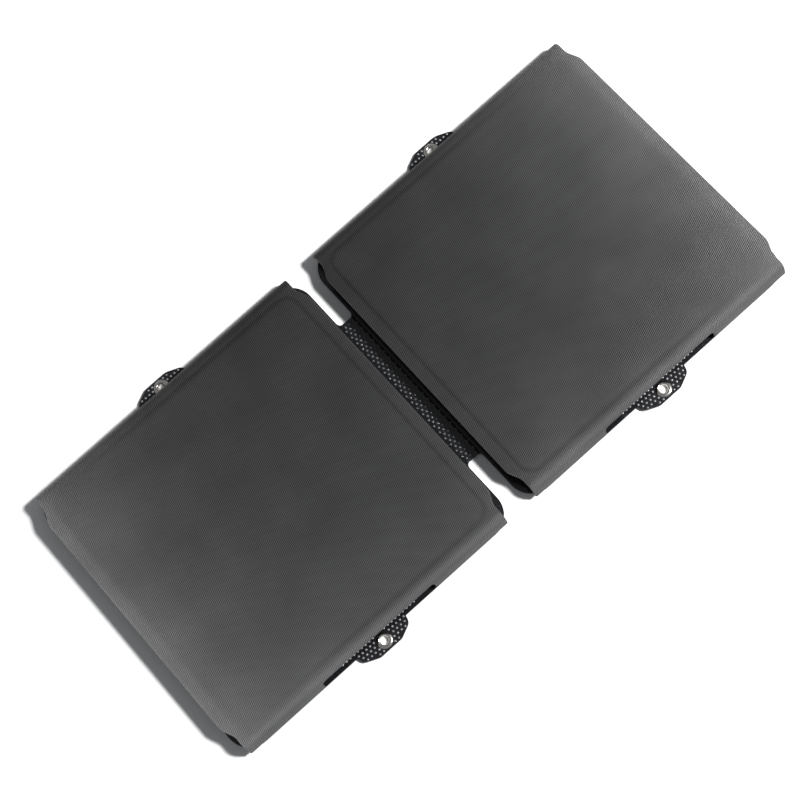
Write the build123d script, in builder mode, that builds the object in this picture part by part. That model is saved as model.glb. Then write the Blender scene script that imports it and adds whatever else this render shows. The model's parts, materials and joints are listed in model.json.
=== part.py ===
"""Two-panel folding solar charger, lying unfolded with its cells down.

X runs along the unfolded charger, Y across it, and Z up out of the back covers.
The origin is on the resting surface, under the fold line's middle. Millimetres.
"""
import os
from math import cos, radians, sin

from build123d import *

os.makedirs("parts", exist_ok=True)

# ---------------------------------------------------------------- driving dimensions
# Back covers
COVER_LENGTH = 200.0          # along X, edge to edge of the main face
COVER_GAP = 14.0              # between the two covers' main edges at the fold
COVER_TOP = 16.0              # highest face above the resting surface
FABRIC_THICKNESS = 0.4
BOARD_THICKNESS = 0.9
BEND_START = 90.0             # half width of the flat face
BEND_RADIUS = 7.0             # outside radius of the turned-down long edges
BEND_ANGLE = 75.0             # how far the long edges turn down
LIP_HEIGHT = 5.6              # the flange's free lip above the resting surface
BEVEL_LENGTH = 7.6            # the short ends slope down over this length
BEVEL_DROP = 1.0
EAR_SETBACK = 3.7             # flange ends stand back from the main edge
OGEE_START = 76.7             # the main edge's half width, where the ogee begins
OGEE_END = 88.0
NOTCH_LENGTH = 83.0           # cut-out in each flange, over the tab
NOTCH_TOP = 11.6
NOTCH_FILLET = 2.5
EDGE_WRAP = 0.6               # the board stops this far short of the fabric's edges

# Laminate
LAMINATE_START = 5.4          # from the fold line to the laminate's hinge-side end
LAMINATE_LENGTH = 202.0
LAMINATE_HALF_WIDTH = 97.4
LAMINATE_CORNER = 15.0
FRONT_FACE = 0.5              # the laminate's front face above the resting surface
FILM_THICKNESS = 0.3
ENCAPSULANT_THICKNESS = 1.3
BACKING_THICKNESS = 0.6
BACKING_INSET = 5.0

# Tabs and eyelets
TAB_EDGE = 105.8              # half width over the tabs
TAB_BASE = 37.4
TAB_SHOULDER = 34.0
TAB_SHOULDER_OUT = 4.4
TAB_TIP = 16.0
TAB_FILLET = 5.0
EYELET_OFFSET = 100.0         # eyelet's centre from the middle line
EYELET_BORE = 2.5             # radius
EYELET_BARREL = 2.95          # radius
EYELET_FLANGE = 4.85          # radius
WASHER_RADIUS = 4.75
WASHER_THICKNESS = 0.35
ROLL_RADIUS = 3.6
FLANGE_HEIGHT = 0.8

# Solar cells
CELL_COLUMNS = 3
CELL_ROWS = 4
CELL_LENGTH = 61.0
CELL_WIDTH = 44.0
CELL_PITCH_X = 63.0
CELL_PITCH_Y = 46.0
CELL_THICKNESS = 0.25
CELL_CORNER = 4.0
CELL_TAB_LENGTH = 9.0
CELL_TAB_WIDTH = 6.0
CELL_TAB_THICKNESS = 0.12
CELL_TAB_SPACING = 30.0

# Ribbons that carry the current to the fold and to the module
RIBBON_WIDTH = 3.0
RIBBON_THICKNESS = 0.15
RIBBON_LEVEL = 1.2           # underside of the ribbons
CONDUCTOR_Y = 30.0            # where the two ribbons cross the fold
CONDUCTOR_WIDTH = 5.0
RIBBON_MARGIN = 8.6           # ribbon's line from the fold

# Hinge web
WEB_WIDTH = 112.0
WEB_FLARE = 2.5
WEB_THICKNESS = 1.0

# Foam core
CORE_HALF_WIDTH = 87.0
CORE_END_SETBACK = 8.0        # from the cover's main edge
CORE_ROUNDING = 4.0

# Charging module, in the right panel's core at the outer end
MODULE_DEPTH = 43.0
MODULE_WIDTH = 64.0
MODULE_WALL = 1.4
MODULE_FLOOR = 1.0
MODULE_RIM = 12.2             # top of the base's walls above the resting surface
MODULE_TOP = 13.8             # top of the lid
MODULE_CORNER = 3.0
MODULE_CLEARANCE = 0.8        # around the module in the core's pocket
SCREW_INSET = 4.2
SCREW_PILOT = 0.9
SCREW_HEAD = 1.9
SCREW_HEAD_HEIGHT = 0.8
SCREW_HEAD_SINK = 0.9         # head's seat below the lid's face
SCREW_GAP = 0.2               # around shank and head in the lid
SCREW_REACH = 5.0             # shank below the rim
PILOT_DEPTH = 7.0
DRIVE_SIZE = (2.2, 0.5)       # one bar of the cross recess
DRIVE_DEPTH = 0.4
BOSS_RADIUS = 2.6
LID_ROUNDING = 0.6
PCB_LENGTH = 34.0
PCB_WIDTH = 46.0
PCB_THICKNESS = 1.2
PCB_STANDOFF = 1.0
PCB_GAP = 0.2                 # between the board and the module's front wall
PCB_CORNER = 1.0
STANDOFF_RADIUS = 2.0
STANDOFF_INSET = (3.0, 5.0)   # from the board's edges
USB_A_Y = -12.0
USB_A_SIZE = (13.0, 13.2, 5.8)
USB_C_Y = 8.0
USB_C_SIZE = (7.4, 9.0, 3.3)
USB_C_CORNER = 1.5
SOCKET_SETBACK = 0.3          # sockets' mouths behind the module's face
SHELL_WALL = 0.35
SOCKET_WINDOW_GAP = 0.25
USB_A_TONGUE_SIZE = (10.5, 11.0, 1.8)
USB_A_TONGUE_RISE = 3.2       # tongue's underside above the board
USB_A_TONGUE_LEAD = 0.4
USB_C_TONGUE_SIZE = (6.0, 6.6, 0.7)
LIGHT_Y = 20.0
LIGHT_RADIUS = 1.0
LIGHT_RISE = 2.0              # light pipe's line above the board
LIGHT_NOSE = 0.3              # pipe's end in front of the module's face
LIGHT_ROUNDING = 0.25

# Parts on the board: size, then place from the board's middle
CHIP_SIZE = (5.0, 5.0, 0.9)
CHIP_PLACE = (-4.0, 9.0)
CHIP_EDGE = 0.15
INDUCTOR_SIZE = (8.0, 8.0, 4.0)
INDUCTOR_PLACE = (-6.0, -1.0)
INDUCTOR_CORNER = 1.6
INDUCTOR_EDGE = 0.5
CAPACITOR_RADIUS = 2.5
CAPACITOR_HEIGHT = 5.4
CAPACITOR_ROUNDING = 0.4
CAPACITOR_PLACES = ((-8.0, -16.0), (-1.0, 18.0))
DIODE_SIZE = (6.8, 4.2, 2.2)
DIODE_PLACE = (-11.0, 15.0)
DIODE_EDGE = 0.4
LED_SIZE = (3.2, 2.8, 1.9)
LED_SETBACK = 3.2             # LED's middle from the board's front edge

# Port flap
FLAP_WIDTH = 38.0
FLAP_HEIGHT = 7.4
FLAP_THICKNESS = 1.2
FLAP_Y = -4.0
FLAP_BARREL = 1.1             # radius
PIN_RADIUS = 0.5
PIN_CLEARANCE = 0.05
PIN_HEIGHT = 4.2
PIN_OUT = 1.4                 # pin's line in front of the module's face
FLAP_GAP = 0.2                # behind the closed flap
FLAP_CORNER = 2.0
PULL_SIZE = (1.6, 12.0, 1.0)  # the finger lip on the flap
PULL_DROP = 1.6               # finger lip's line below the flap's top
EAR_WIDTH = 1.6
EAR_RADIUS = 1.3
EAR_GAP = 0.3                 # between the flap and each ear

# Leads
LEAD_RADIUS = 0.8
LEAD_Y = 5.0
LEAD_BEND = 1.8
LEAD_CHANNEL = 6.0            # height of the leads' channel in the foam
LEAD_LANDING = 3.0            # lead's end in from the board's edge
TERMINAL_SIZE = (7.0, 5.0, 0.3)
TERMINAL_BACK = 12.0          # terminal's centre behind the module

# How far cutting tools reach past what they cut
OVERCUT = 1.0

# ---------------------------------------------------------------- worked-out places
PANEL_CENTRE = (COVER_GAP + COVER_LENGTH) / 2
LAMINATE_CENTRE = LAMINATE_START + LAMINATE_LENGTH / 2
COVER_THICKNESS = FABRIC_THICKNESS + BOARD_THICKNESS
ENCAPSULANT_BASE = FRONT_FACE + FILM_THICKNESS
ENCAPSULANT_TOP = ENCAPSULANT_BASE + ENCAPSULANT_THICKNESS
LAMINATE_TOP = ENCAPSULANT_TOP + FILM_THICKNESS
BACKING_BASE = ENCAPSULANT_TOP - BACKING_THICKNESS
CORE_TOP = COVER_TOP - COVER_THICKNESS
CELL_TOP = ENCAPSULANT_BASE + CELL_THICKNESS
CORE_END = PANEL_CENTRE + COVER_LENGTH / 2 - CORE_END_SETBACK
MODULE_FACE = CORE_END
MODULE_BACK = MODULE_FACE - MODULE_DEPTH
MODULE_CENTRE = (MODULE_FACE + MODULE_BACK) / 2
MODULE_INSIDE = LAMINATE_TOP + MODULE_FLOOR
PCB_BASE = MODULE_INSIDE + PCB_STANDOFF
PCB_TOP = PCB_BASE + PCB_THICKNESS
PCB_FRONT = MODULE_FACE - MODULE_WALL - PCB_GAP
PCB_CENTRE = PCB_FRONT - PCB_LENGTH / 2
SOCKET_MOUTH = MODULE_FACE - SOCKET_SETBACK
SCREW_SEAT = MODULE_TOP - SCREW_HEAD_SINK
TERMINAL_X = MODULE_BACK - TERMINAL_BACK
PIN_X = MODULE_FACE + PIN_OUT
SIDES = {"left": -1, "right": 1}
ON_FLOOR = (Align.CENTER, Align.CENTER, Align.MIN)


def save(builder, name):
    """Label a finished piece and write it to its own STEP file."""
    builder.part.label = name
    export_step(builder.part, f"parts/{name}.step")


def lift(height):
    """The XY plane at a height."""
    return Plane.XY.offset(height)


# ---------------------------------------------------------------- back covers
def cover_block(side, inset, lip_extra=0.0):
    """The cover's outer form as a full block, shrunk by inset; lip_extra lengthens its flanges."""
    centre = side * PANEL_CENTRE
    radius = BEND_RADIUS - inset
    bend_height = COVER_TOP - BEND_RADIUS
    rise = radians(90 - BEND_ANGLE)
    flange_drop = bend_height + radius * sin(rise) - LIP_HEIGHT + lip_extra
    flange_out = flange_drop / sin(radians(BEND_ANGLE)) * cos(radians(BEND_ANGLE))
    with BuildPart() as block:
        with BuildSketch(Plane.YZ.offset(centre - COVER_LENGTH / 2)):
            with BuildLine():
                near = CenterArc((BEND_START, bend_height), radius, 90 - BEND_ANGLE, BEND_ANGLE)
                far = CenterArc((-BEND_START, bend_height), radius, 90, BEND_ANGLE)
                near_lip = near @ 0 + Vector(flange_out, -flange_drop)
                far_lip = far @ 1 + Vector(-flange_out, -flange_drop)
                Polyline(near @ 1, far @ 0)
                Polyline(far @ 1, far_lip, near_lip, near @ 0)
            make_face()
        extrude(amount=COVER_LENGTH)
        for end in (-1, 1):
            edge = centre + end * COVER_LENGTH / 2
            crease = edge - end * BEVEL_LENGTH
            beyond = edge + end * BEVEL_LENGTH
            top = COVER_TOP - inset
            with BuildSketch(Plane.XZ):
                with BuildLine():
                    Polyline((crease, top), (beyond, top - 2 * BEVEL_DROP), (beyond, top + OVERCUT),
                             (crease, top + OVERCUT), close=True)
                make_face()
            extrude(amount=BEND_START + 2 * BEND_RADIUS, both=True, mode=Mode.SUBTRACT)
    return block.part


def cover_trim(side, margin=0.0):
    """What is cut from a cover: the short ends with their ogees, and the notch in each flange."""
    centre = side * PANEL_CENTRE
    reach = TAB_EDGE
    outward = (0, 1)
    with BuildPart() as trim:
        for end in (-1, 1):
            edge = centre + end * (COVER_LENGTH / 2 - margin)
            ear = edge - end * EAR_SETBACK
            beyond = centre + end * (COVER_LENGTH / 2 + OVERCUT)
            with BuildSketch():
                with BuildLine():
                    Line((edge, -OGEE_START), (edge, OGEE_START))
                    Spline((edge, OGEE_START), (ear, OGEE_END), tangents=(outward, outward))
                    Polyline((ear, OGEE_END), (ear, reach), (beyond, reach), (beyond, -reach),
                             (ear, -reach), (ear, -OGEE_END))
                    Spline((ear, -OGEE_END), (edge, -OGEE_START), tangents=(outward, outward))
                make_face()
            extrude(amount=COVER_TOP + OVERCUT)
        with BuildSketch(Plane.XZ) as notch:
            with Locations((side * LAMINATE_CENTRE, 0)):
                Rectangle(NOTCH_LENGTH + 2 * margin, 2 * (NOTCH_TOP + margin))
            fillet(notch.vertices().group_by(Axis.Z)[-1], radius=NOTCH_FILLET + margin)
        extrude(amount=reach, both=True)
    return trim.part


for name, side in SIDES.items():
    with BuildPart() as cover_fabric:
        add(cover_block(side, 0))
        add(cover_block(side, FABRIC_THICKNESS, lip_extra=3 * OVERCUT), mode=Mode.SUBTRACT)
        add(cover_trim(side), mode=Mode.SUBTRACT)
    save(cover_fabric, f"{name}_cover_fabric")

    with BuildPart() as cover_board:
        add(cover_block(side, FABRIC_THICKNESS, lip_extra=-EDGE_WRAP))
        add(cover_block(side, COVER_THICKNESS, lip_extra=3 * OVERCUT), mode=Mode.SUBTRACT)
        add(cover_trim(side, margin=EDGE_WRAP), mode=Mode.SUBTRACT)
    save(cover_board, f"{name}_cover_board")


# ---------------------------------------------------------------- foam cores
for name, side in SIDES.items():
    with BuildPart() as foam_core:
        with BuildSketch(lift(LAMINATE_TOP)):
            with Locations((side * PANEL_CENTRE, 0)):
                RectangleRounded(COVER_LENGTH - 2 * CORE_END_SETBACK, 2 * CORE_HALF_WIDTH, CORE_ROUNDING)
        extrude(amount=CORE_TOP - LAMINATE_TOP)
        if side > 0:
            pocket_length = MODULE_DEPTH + MODULE_CLEARANCE
            with Locations((MODULE_FACE - (pocket_length - OVERCUT) / 2, 0, LAMINATE_TOP)):
                Box(pocket_length + OVERCUT, MODULE_WIDTH + 2 * MODULE_CLEARANCE, CORE_TOP, align=ON_FLOOR,
                    mode=Mode.SUBTRACT)
            channel_length = MODULE_BACK - TERMINAL_X + TERMINAL_SIZE[0]
            with Locations((MODULE_BACK - channel_length / 2, 0, LAMINATE_TOP)):
                Box(channel_length, 4 * LEAD_Y, LEAD_CHANNEL, align=ON_FLOOR, mode=Mode.SUBTRACT)
    save(foam_core, f"{name}_foam_core")


# ---------------------------------------------------------------- laminate
def laminate_outline(side):
    """The laminate in plan, with its two tabs and the eyelet holes."""
    centre = side * LAMINATE_CENTRE
    with BuildSketch() as outline:
        with Locations((centre, 0)):
            RectangleRounded(LAMINATE_LENGTH, 2 * LAMINATE_HALF_WIDTH, LAMINATE_CORNER)
        for across in (-1, 1):
            root = across * (LAMINATE_HALF_WIDTH - 2)
            shoulder = across * (LAMINATE_HALF_WIDTH + TAB_SHOULDER_OUT)
            tip = across * TAB_EDGE
            with BuildLine():
                FilletPolyline((centre - TAB_BASE / 2, root), (centre - TAB_SHOULDER / 2, shoulder),
                               (centre - TAB_TIP / 2, tip), (centre + TAB_TIP / 2, tip),
                               (centre + TAB_SHOULDER / 2, shoulder), (centre + TAB_BASE / 2, root),
                               radius=TAB_FILLET)
                Line((centre + TAB_BASE / 2, root), (centre - TAB_BASE / 2, root))
            make_face()
        with Locations((centre, -EYELET_OFFSET), (centre, EYELET_OFFSET)):
            Circle(EYELET_BARREL, mode=Mode.SUBTRACT)
    return outline.sketch


def backing_outline(side):
    """The backing board in plan: the laminate without its tabs, shrunk all round."""
    with BuildSketch() as outline:
        with Locations((side * LAMINATE_CENTRE, 0)):
            RectangleRounded(LAMINATE_LENGTH - 2 * BACKING_INSET, 2 * (LAMINATE_HALF_WIDTH - BACKING_INSET),
                             LAMINATE_CORNER - BACKING_INSET)
    return outline.sketch


def cell_places(side):
    """The centres of a panel's cells, column by column."""
    centre = side * LAMINATE_CENTRE
    places = []
    for column in range(CELL_COLUMNS):
        for row in range(CELL_ROWS):
            x = centre + side * (column - (CELL_COLUMNS - 1) / 2) * CELL_PITCH_X
            y = (row - (CELL_ROWS - 1) / 2) * CELL_PITCH_Y
            places.append((x, y))
    return places


def cell_tab_boxes(side):
    """Centre and plan size of each tab that joins two neighbouring cells in the winding series path."""
    centre = side * LAMINATE_CENTRE
    boxes = []
    for column in range(CELL_COLUMNS):
        x = centre + side * (column - (CELL_COLUMNS - 1) / 2) * CELL_PITCH_X
        for gap in range(CELL_ROWS - 1):
            y = (gap - (CELL_ROWS - 2) / 2) * CELL_PITCH_Y
            for offset in (-CELL_TAB_SPACING / 2, CELL_TAB_SPACING / 2):
                boxes.append(((x + offset, y), (CELL_TAB_WIDTH, CELL_TAB_LENGTH)))
    for turn in range(CELL_COLUMNS - 1):
        x = centre + side * (turn - (CELL_COLUMNS - 2) / 2) * CELL_PITCH_X
        end = 1 if turn % 2 == 0 else -1
        y = end * (CELL_ROWS - 1) / 2 * CELL_PITCH_Y
        for offset in (-CELL_WIDTH / 4, CELL_WIDTH / 4):
            boxes.append(((x, y + offset), (CELL_TAB_LENGTH, CELL_TAB_WIDTH)))
    return boxes


def ribbon_ends(side):
    """Where the two poles' ribbons meet the first and the last cell of the series path."""
    row_y = (CELL_ROWS - 1) / 2 * CELL_PITCH_Y
    first_x = side * (LAMINATE_CENTRE - (CELL_COLUMNS - 1) / 2 * CELL_PITCH_X - CELL_LENGTH / 3)
    last_x = side * (LAMINATE_CENTRE + (CELL_COLUMNS - 1) / 2 * CELL_PITCH_X + CELL_LENGTH / 3)
    return [(first_x, -row_y), (last_x, row_y)]


def ribbon_runs(side):
    """Opposite corners of each straight run of the two poles' bus ribbons, in plan."""
    half = RIBBON_WIDTH / 2
    margin_in = RIBBON_MARGIN - half
    margin_out = RIBBON_MARGIN + half
    runs = []
    for end_x, end_y in ribbon_ends(side):
        across = 1 if end_y > 0 else -1
        # across the hinge-side margin, in line with the conductor in the web
        runs.append(((side * LAMINATE_START, across * (CONDUCTOR_Y - CONDUCTOR_WIDTH / 2)),
                     (side * margin_out, across * (CONDUCTOR_Y + CONDUCTOR_WIDTH / 2))))
        # along the margin to the row of the end cell, and over that row to the cell
        runs.append(((side * margin_in, across * CONDUCTOR_Y), (side * margin_out, end_y + across * half)))
        runs.append(((side * margin_in, end_y - half), (end_x + side * half, end_y + half)))
        if side > 0:
            # back to the middle and along it to the terminals behind the module
            lead_y = across * LEAD_Y
            runs.append(((margin_in, across * CONDUCTOR_Y), (margin_out, lead_y - across * half)))
            runs.append(((margin_in, lead_y - half), (TERMINAL_X + half, lead_y + half)))
    return runs


def ribbon_plan(side):
    """Both poles' ribbons in plan."""
    with BuildSketch() as plan:
        for (x1, y1), (x2, y2) in ribbon_runs(side):
            with Locations(((x1 + x2) / 2, (y1 + y2) / 2)):
                Rectangle(abs(x2 - x1), abs(y2 - y1))
    return plan.sketch


for name, side in SIDES.items():
    with BuildPart() as front_film:
        with BuildSketch(lift(FRONT_FACE)):
            add(laminate_outline(side))
        extrude(amount=FILM_THICKNESS)
    save(front_film, f"{name}_front_film")

    with BuildPart() as solar_cells:
        with BuildSketch(lift(ENCAPSULANT_BASE)):
            with Locations(*cell_places(side)):
                Rectangle(CELL_LENGTH, CELL_WIDTH)
            chamfer(vertices(), length=CELL_CORNER)
        extrude(amount=CELL_THICKNESS)
    save(solar_cells, f"{name}_solar_cells")

    with BuildPart() as cell_tabs:
        with BuildSketch(lift(CELL_TOP)):
            for place, size in cell_tab_boxes(side):
                with Locations(place):
                    Rectangle(*size)
        extrude(amount=CELL_TAB_THICKNESS)
    save(cell_tabs, f"{name}_cell_tabs")

    with BuildPart() as bus_ribbons:
        with BuildSketch(lift(RIBBON_LEVEL)):
            add(ribbon_plan(side))
        extrude(amount=RIBBON_THICKNESS)
        # legs down to the first and the last cell
        with BuildSketch(lift(CELL_TOP)):
            with Locations(*ribbon_ends(side)):
                Rectangle(RIBBON_WIDTH, RIBBON_WIDTH)
        extrude(amount=RIBBON_LEVEL - CELL_TOP)
        if side > 0:
            # risers through the backing board and the back film
            with BuildSketch(lift(RIBBON_LEVEL)):
                with Locations((TERMINAL_X, -LEAD_Y), (TERMINAL_X, LEAD_Y)):
                    Rectangle(RIBBON_WIDTH, RIBBON_WIDTH)
            extrude(amount=LAMINATE_TOP - RIBBON_LEVEL)
    save(bus_ribbons, f"{name}_bus_ribbons")

    with BuildPart() as encapsulant:
        with BuildSketch(lift(ENCAPSULANT_BASE)):
            add(laminate_outline(side))
        extrude(amount=ENCAPSULANT_THICKNESS)
        add(solar_cells.part, mode=Mode.SUBTRACT)
        add(cell_tabs.part, mode=Mode.SUBTRACT)
        add(bus_ribbons.part, mode=Mode.SUBTRACT)
        with BuildSketch(lift(BACKING_BASE)):
            add(backing_outline(side))
        extrude(amount=BACKING_THICKNESS, mode=Mode.SUBTRACT)
    save(encapsulant, f"{name}_encapsulant")

    with BuildPart() as backing_board:
        with BuildSketch(lift(BACKING_BASE)):
            add(backing_outline(side))
        extrude(amount=BACKING_THICKNESS)
        add(bus_ribbons.part, mode=Mode.SUBTRACT)
    save(backing_board, f"{name}_backing_board")

    with BuildPart() as back_film:
        with BuildSketch(lift(ENCAPSULANT_TOP)):
            add(laminate_outline(side))
        extrude(amount=FILM_THICKNESS)
        add(bus_ribbons.part, mode=Mode.SUBTRACT)
    save(back_film, f"{name}_back_film")


# ---------------------------------------------------------------- eyelets and washers
def eyelet_places(side):
    """The two eyelets' centres on a panel."""
    centre = side * LAMINATE_CENTRE
    return [(centre, -EYELET_OFFSET), (centre, EYELET_OFFSET)]


with BuildPart() as eyelet:
    with BuildSketch(Plane.XZ):
        with BuildLine():
            throat = (EYELET_BORE, LAMINATE_TOP - 0.1)
            crown = (EYELET_BORE + 0.9, LAMINATE_TOP + FLANGE_HEIGHT)
            brim = (EYELET_FLANGE, LAMINATE_TOP + 0.25)
            roll_out = (ROLL_RADIUS, FRONT_FACE - WASHER_THICKNESS)
            roll_in = (EYELET_BORE, FRONT_FACE)
            roll_base = (EYELET_BARREL, 0)
            Line(roll_in, throat)
            TangentArc(throat, crown, tangent=(0, 1))
            TangentArc(crown, brim, tangent=(1, 0))
            Polyline(brim, (EYELET_FLANGE, LAMINATE_TOP), (EYELET_BARREL, LAMINATE_TOP),
                     (EYELET_BARREL, FRONT_FACE - WASHER_THICKNESS), roll_out,
                     (ROLL_RADIUS - 0.25, 0), roll_base)
            TangentArc(roll_base, roll_in, tangent=(-1, 0))
        make_face()
    revolve(axis=Axis.Z)

with BuildPart() as washer:
    with BuildSketch(lift(FRONT_FACE - WASHER_THICKNESS)):
        Circle(WASHER_RADIUS)
        Circle(EYELET_BARREL, mode=Mode.SUBTRACT)
    extrude(amount=WASHER_THICKNESS)
    chamfer(edges().group_by(Axis.Z)[0].sort_by(SortBy.RADIUS)[-1], length=0.15)

for name, side in SIDES.items():
    with BuildPart() as eyelets:
        with Locations(*eyelet_places(side)):
            add(eyelet.part)
    save(eyelets, f"{name}_eyelets")

    with BuildPart() as eyelet_washers:
        with Locations(*eyelet_places(side)):
            add(washer.part)
    save(eyelet_washers, f"{name}_eyelet_washers")


# ---------------------------------------------------------------- hinge web and its conductors
with BuildPart() as hinge_conductors:
    with BuildSketch(lift(RIBBON_LEVEL)):
        with Locations((0, -CONDUCTOR_Y), (0, CONDUCTOR_Y)):
            Rectangle(2 * LAMINATE_START, CONDUCTOR_WIDTH)
    extrude(amount=RIBBON_THICKNESS)
save(hinge_conductors, "hinge_conductors")

with BuildPart() as hinge_web:
    with BuildSketch(lift(FRONT_FACE)):
        Rectangle(2 * LAMINATE_START, WEB_WIDTH + 2 * WEB_FLARE)
        with Locations((0, -WEB_WIDTH / 2 - WEB_FLARE), (0, WEB_WIDTH / 2 + WEB_FLARE)):
            SlotOverall(2 * LAMINATE_START - 0.4, 2 * WEB_FLARE, mode=Mode.SUBTRACT)
    extrude(amount=WEB_THICKNESS)
    add(hinge_conductors.part, mode=Mode.SUBTRACT)
save(hinge_web, "hinge_web")


# ---------------------------------------------------------------- charging module
def screw_places():
    """The four case screws' centres."""
    half_depth = MODULE_DEPTH / 2 - SCREW_INSET
    half_width = MODULE_WIDTH / 2 - SCREW_INSET
    return [(MODULE_CENTRE + i * half_depth, j * half_width) for i in (-1, 1) for j in (-1, 1)]


def socket_box(size, y, grow=0.0):
    """Inside a builder: a socket's outer box standing on the board, grown by a gap."""
    length, width, height = size
    with Locations((SOCKET_MOUTH - length / 2, y, PCB_TOP + height / 2)):
        Box(length + 2 * grow, width + 2 * grow, height + 2 * grow,
            mode=Mode.SUBTRACT if grow else Mode.ADD)


with BuildPart() as module_base:
    with BuildSketch(lift(LAMINATE_TOP)):
        with Locations((MODULE_CENTRE, 0)):
            RectangleRounded(MODULE_DEPTH, MODULE_WIDTH, MODULE_CORNER)
    extrude(amount=MODULE_RIM - LAMINATE_TOP)
    with BuildSketch(lift(MODULE_INSIDE)):
        with Locations((MODULE_CENTRE, 0)):
            RectangleRounded(MODULE_DEPTH - 2 * MODULE_WALL, MODULE_WIDTH - 2 * MODULE_WALL,
                             MODULE_CORNER - MODULE_WALL)
    extrude(amount=MODULE_RIM - MODULE_INSIDE, mode=Mode.SUBTRACT)
    with BuildSketch(lift(MODULE_INSIDE)):
        with Locations(*screw_places()):
            Circle(BOSS_RADIUS)
    extrude(amount=MODULE_RIM - MODULE_INSIDE)
    with BuildSketch(lift(MODULE_INSIDE)):
        with Locations((PCB_CENTRE, 0)):
            with GridLocations(PCB_LENGTH - 2 * STANDOFF_INSET[0], PCB_WIDTH - 2 * STANDOFF_INSET[1], 2, 2):
                Circle(STANDOFF_RADIUS)
    extrude(amount=PCB_STANDOFF)
    with BuildSketch(lift(MODULE_RIM)):
        with Locations(*screw_places()):
            Circle(SCREW_PILOT)
    extrude(amount=-PILOT_DEPTH, mode=Mode.SUBTRACT)
    # windows for the sockets and the light
    socket_box(USB_A_SIZE, USB_A_Y, SOCKET_WINDOW_GAP)
    socket_box(USB_C_SIZE, USB_C_Y, SOCKET_WINDOW_GAP)
    with BuildSketch(Plane.YZ.offset(MODULE_FACE)):
        with Locations((LIGHT_Y, PCB_TOP + LIGHT_RISE)):
            Circle(LIGHT_RADIUS)
    extrude(amount=-2 * MODULE_WALL, mode=Mode.SUBTRACT)
    # lead holes in the back wall
    with BuildSketch(Plane.YZ.offset(MODULE_BACK)):
        with Locations((-LEAD_Y, PCB_TOP + LEAD_RADIUS), (LEAD_Y, PCB_TOP + LEAD_RADIUS)):
            Circle(LEAD_RADIUS)
    extrude(amount=2 * MODULE_WALL, mode=Mode.SUBTRACT)
    # ears that hold the flap's pin
    ear_root = MODULE_FACE - MODULE_WALL / 2
    for across in (-1, 1):
        ear_y = FLAP_Y + across * (FLAP_WIDTH / 2 + EAR_WIDTH / 2 + EAR_GAP)
        with BuildSketch(Plane.XZ.offset(-ear_y - EAR_WIDTH / 2)):
            with BuildLine():
                nose = CenterArc((PIN_X, PIN_HEIGHT), EAR_RADIUS, -90, 180)
                Polyline(nose @ 1, (ear_root, PIN_HEIGHT + EAR_RADIUS), (ear_root, PIN_HEIGHT - EAR_RADIUS),
                         nose @ 0)
            make_face()
            with Locations((PIN_X, PIN_HEIGHT)):
                Circle(PIN_RADIUS, mode=Mode.SUBTRACT)
        extrude(amount=EAR_WIDTH)
save(module_base, "module_base")

with BuildPart() as module_lid:
    with BuildSketch(lift(MODULE_RIM)):
        with Locations((MODULE_CENTRE, 0)):
            RectangleRounded(MODULE_DEPTH, MODULE_WIDTH, MODULE_CORNER)
    extrude(amount=MODULE_TOP - MODULE_RIM)
    fillet(module_lid.faces().sort_by(Axis.Z)[-1].edges(), radius=LID_ROUNDING)
    with Locations(*[(x, y, MODULE_TOP) for x, y in screw_places()]):
        CounterBoreHole(radius=SCREW_PILOT + SCREW_GAP, counter_bore_radius=SCREW_HEAD + SCREW_GAP,
                        counter_bore_depth=SCREW_HEAD_SINK)
save(module_lid, "module_lid")

with BuildPart() as module_screws:
    screw_foot = MODULE_RIM - SCREW_REACH
    with BuildSketch(lift(screw_foot)):
        with Locations(*screw_places()):
            Circle(SCREW_PILOT)
    extrude(amount=SCREW_SEAT - screw_foot)
    with BuildSketch(lift(SCREW_SEAT)):
        with Locations(*screw_places()):
            Circle(SCREW_HEAD)
    extrude(amount=SCREW_HEAD_HEIGHT)
    with BuildSketch(lift(SCREW_SEAT + SCREW_HEAD_HEIGHT)):
        with Locations(*screw_places()):
            Rectangle(*DRIVE_SIZE)
            Rectangle(*reversed(DRIVE_SIZE))
    extrude(amount=-DRIVE_DEPTH, mode=Mode.SUBTRACT)
save(module_screws, "module_screws")

with BuildPart() as circuit_board:
    with BuildSketch(lift(PCB_BASE)):
        with Locations((PCB_CENTRE, 0)):
            RectangleRounded(PCB_LENGTH, PCB_WIDTH, PCB_CORNER)
    extrude(amount=PCB_THICKNESS)
save(circuit_board, "circuit_board")


# ---------------------------------------------------------------- sockets and board parts
with BuildPart() as usb_a_shell:
    socket_box(USB_A_SIZE, USB_A_Y)
    front_face = usb_a_shell.faces().sort_by(Axis.X)[-1]
    offset(amount=-SHELL_WALL, openings=front_face)
save(usb_a_shell, "usb_a_shell")

with BuildPart() as usb_a_tongue:
    with Locations((SOCKET_MOUTH - USB_A_SIZE[0] + SHELL_WALL, USB_A_Y, PCB_TOP + USB_A_TONGUE_RISE)):
        Box(*USB_A_TONGUE_SIZE, align=(Align.MIN, Align.CENTER, Align.MIN))
    chamfer(usb_a_tongue.faces().sort_by(Axis.X)[-1].edges().filter_by(Axis.Y), length=USB_A_TONGUE_LEAD)
save(usb_a_tongue, "usb_a_tongue")

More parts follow.
